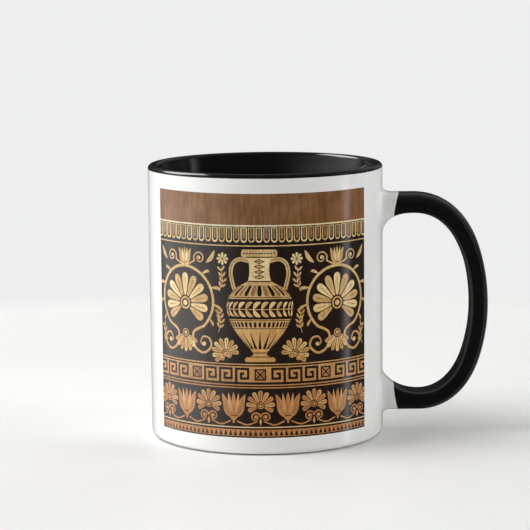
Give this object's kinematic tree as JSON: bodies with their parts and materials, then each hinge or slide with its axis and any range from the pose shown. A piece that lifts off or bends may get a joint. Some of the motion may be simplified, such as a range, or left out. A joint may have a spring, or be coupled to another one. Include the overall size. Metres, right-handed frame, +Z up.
{
  "type": "ceramic mug",
  "caption": "Straight-sided ceramic mug, white outside and black inside, with a black loop handle and a printed panel of classical vase ornament.",
  "frame": {"origin": "on the surface the mug stands on, midway between the far side of the cup and the outer edge of the handle; the cup's own axis is at x = -0.0185", "axes": "+X from the cup towards the handle; +Z up, from the foot to the rim; -Y is the front, where the printed panel is"},
  "size_m": [0.119, 0.082, 0.0955],
  "materials": {
    "white_glaze": "gloss white glaze over a fired body",
    "black_glaze": "gloss black glaze inside, over the lip and round the handle",
    "printed_panel": "tan, orange and near-black ink fired under a clear gloss coat",
    "bare_foot": "unglazed fired clay on the foot ring"
  },
  "bodies": {
    "root": {"mug": "white_glaze"}
  },
  "joints": []
}
